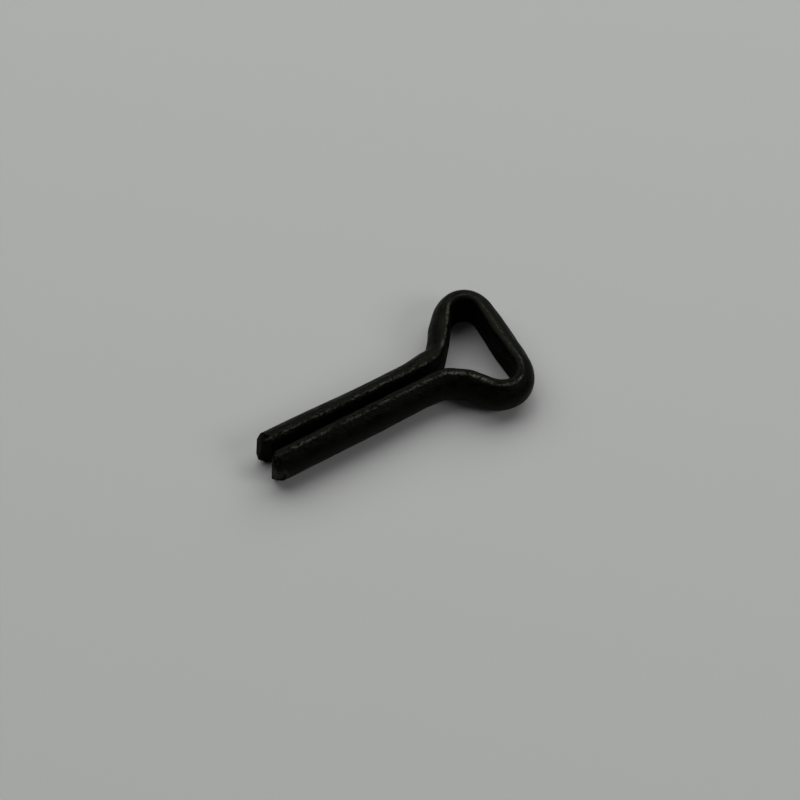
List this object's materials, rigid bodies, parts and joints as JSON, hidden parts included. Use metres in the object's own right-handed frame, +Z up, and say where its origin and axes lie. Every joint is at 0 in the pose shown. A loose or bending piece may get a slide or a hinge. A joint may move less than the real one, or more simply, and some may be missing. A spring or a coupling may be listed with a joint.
{
  "type": "cotter pin",
  "caption": "Cotter pin bent from half-round wire, with parallel bevelled prongs and a rounded triangular eye, in a worn matt black finish.",
  "frame": {"origin": "on the axis of the shank, where the neck bends begin, at the mid-height of the wire", "axes": "+X along the shank from the tips towards the eye, +Y to the left side of the pin seen from its tips, +Z up, square to the plane in which the wire is bent"},
  "size_m": [0.0306, 0.0156, 0.0046],
  "materials": {
    "black_steel": "black phosphate on steel wire, matt, with the edges worn brighter"
  },
  "bodies": {
    "root": {"cotter_pin": "black_steel"}
  },
  "joints": []
}
